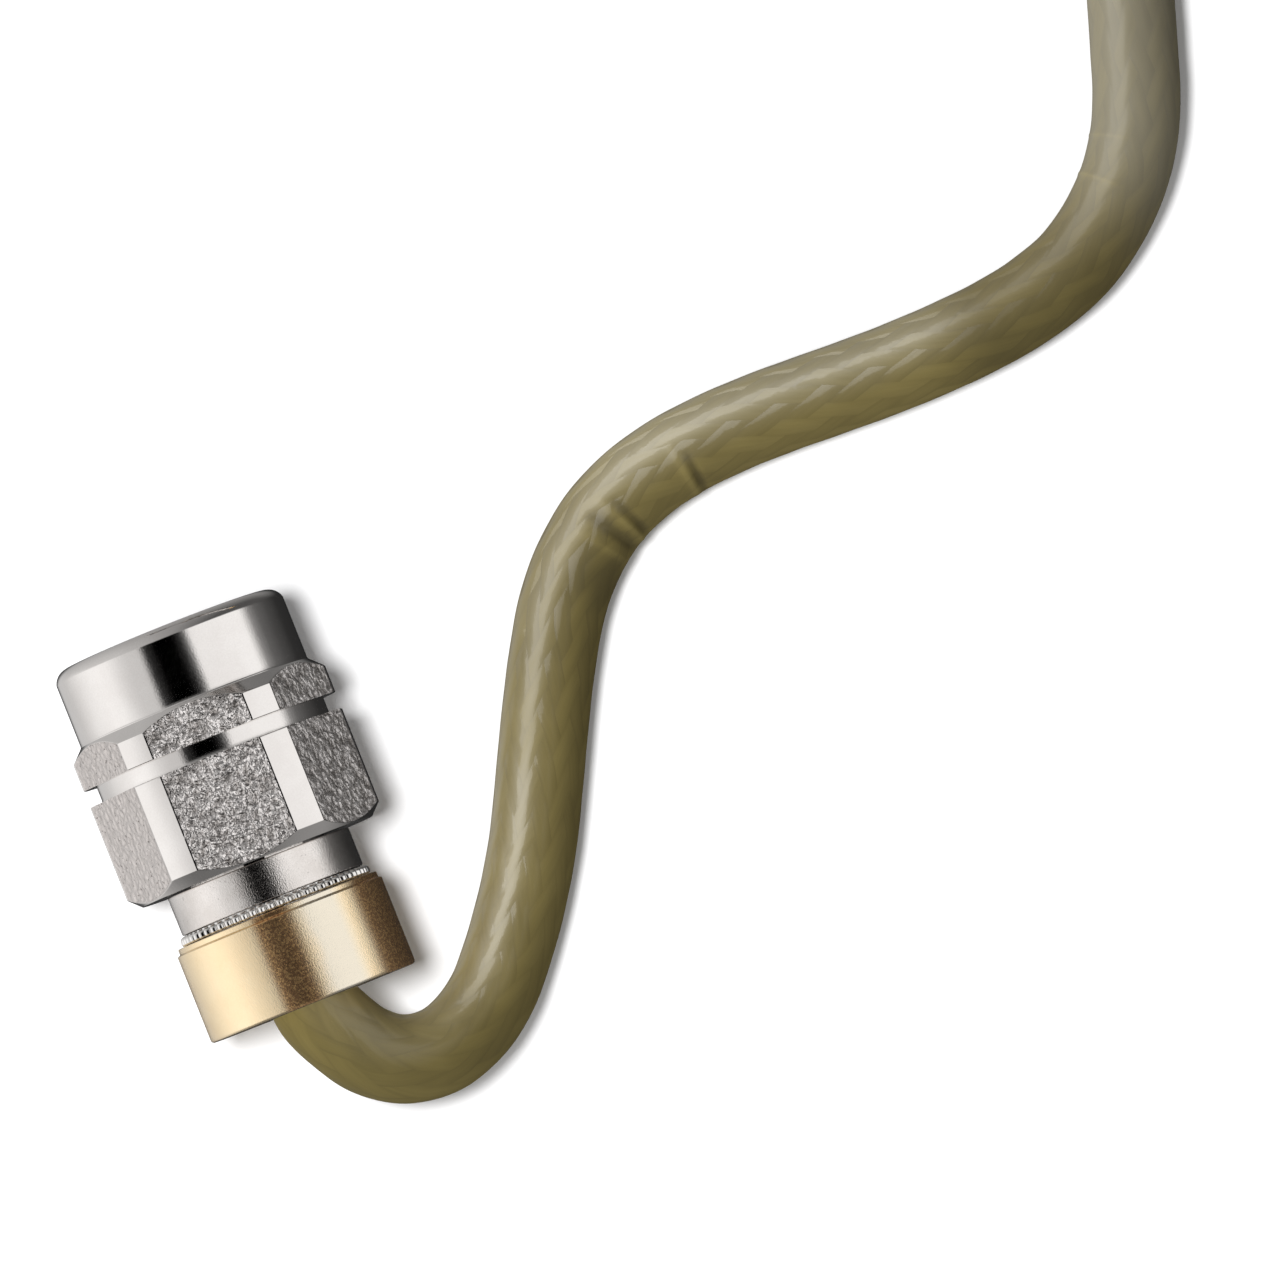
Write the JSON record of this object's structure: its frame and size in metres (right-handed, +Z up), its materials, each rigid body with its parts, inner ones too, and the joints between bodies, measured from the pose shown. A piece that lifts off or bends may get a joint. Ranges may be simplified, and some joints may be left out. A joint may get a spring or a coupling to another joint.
{
  "type": "cable shutter release",
  "caption": "Cable release: a plunger with finger rest and lock screw pushes a wire through a braided cable to a pin inside a screw-on hexagonal coupling.",
  "frame": {"origin": "on the surface it lies on, under the middle of the box around the coupling and the plunger", "axes": "+Z up from the surface; +Y along the coupling's axis, out of its open mouth; the plunger's button points to -X"},
  "size_m": [0.1074, 0.0774, 0.0136],
  "materials": {
    "blasted_steel": "coarse cast grain on the flats, satin turned corners and rings",
    "satin_steel": "fine turned satin",
    "bright_steel": "bright",
    "gilt_brass": "pale gold satin",
    "brass": "plain turned",
    "olive_jacket": "olive herringbone braid under a glossy clear coat",
    "black_rubber": "matte"
  },
  "bodies": {
    "cable_body": {"swivel_tube": "satin_steel", "thrust_washer": "brass", "neck_collar": "satin_steel", "toothed_ring": "bright_steel", "end_ring": "gilt_brass", "conduit_end_front": "bright_steel", "crimp_sleeve_front": "brass", "pin_guide": "brass", "plunger_ferrule": "gilt_brass", "plunger_barrel": "satin_steel", "conduit_end_rear": "bright_steel", "crimp_sleeve_rear": "brass", "finger_rest": "satin_steel", "end_collar": "satin_steel", "rod_bush": "brass", "bumper_washer": "black_rubber", "return_spring": "bright_steel", "cable_run": "olive_jacket", "cable_loop": "olive_jacket", "cable_tail": "olive_jacket"},
    "nut": {"coupling_nut": "blasted_steel"},
    "pin": {"release_pin": "bright_steel", "core_wire_front": "bright_steel"},
    "button": {"thumb_button": "satin_steel", "plunger_rod": "bright_steel", "piston": "brass", "wire_clamp": "brass", "core_wire_rear": "bright_steel"},
    "lock_slide": {"lock_pad": "brass"},
    "lock_knob": {"lock_screw": "satin_steel"}
  },
  "joints": [
    {"name": "nut_spin", "type": "hinge", "parent": "cable_body", "child": "nut", "pos_m": [-0.01893, -0.025, 0.00565], "axis": [0, 1, 0], "continuous": true},
    {"name": "button_press", "type": "slide", "parent": "cable_body", "child": "button", "axis": [1, 0, 0], "range_m": [0, 0.006], "stiffness_N_per_m": 150, "springref_m": -0.004, "deforming": ["return_spring"]},
    {"name": "pin_travel", "type": "slide", "parent": "cable_body", "child": "pin", "axis": [0, 1, 0], "range_m": [0, 0.006]},
    {"name": "lock_feed", "type": "slide", "parent": "cable_body", "child": "lock_slide", "axis": [0, 0, 1], "range_m": [-0.0004, 0], "stiffness_N_per_m": 0.1, "springref_m": 0.0403},
    {"name": "lock_turn", "type": "hinge", "parent": "lock_slide", "child": "lock_knob", "pos_m": [-0.00953, 0.0257, 0.0054], "axis": [0, 0, 1], "range_deg": [-288, 0]}
  ],
  "couplings": [
    {"joint": "pin_travel", "follows": "button_press", "ratio": 1},
    {"joint": "lock_turn", "follows": "lock_feed", "rad_per_m": 12566}
  ]
}
